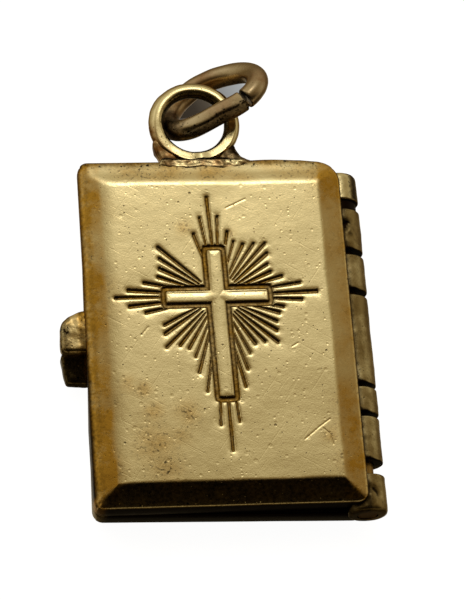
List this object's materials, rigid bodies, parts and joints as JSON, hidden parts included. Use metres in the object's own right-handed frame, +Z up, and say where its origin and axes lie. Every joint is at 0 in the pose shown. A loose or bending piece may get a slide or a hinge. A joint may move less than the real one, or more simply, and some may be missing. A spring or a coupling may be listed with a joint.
{
  "type": "book charm",
  "caption": "Small gold book charm: hollow bevelled covers, one engraved with a cross in a burst of rays, joined by a barrel hinge, with thumb pieces, a soldered ring and a jump ring.",
  "frame": {"origin": "centre of the flat face of the plain cover, which the charm lies on", "axes": "+X towards the hinge, +Y towards the hanging ring, +Z up, out of the engraved face"},
  "size_m": [0.0131, 0.0205, 0.0035],
  "materials": {
    "engraved_cover": "worn polished yellow gold, tarnished in its lines and bevels",
    "plain_cover": "worn polished yellow gold",
    "hinge_pin": "worn yellow gold",
    "jump_ring": "worn yellow gold wire"
  },
  "bodies": {
    "back": {"plain_cover": "plain_cover", "hinge_pin": "hinge_pin"},
    "front": {"engraved_cover": "engraved_cover", "jump_ring": "jump_ring"}
  },
  "joints": [
    {"name": "cover_hinge", "type": "hinge", "parent": "back", "child": "front", "pos_m": [0.00563, 0, 0.00125], "axis": [0, 1, 0], "range_deg": [0, 180]}
  ]
}
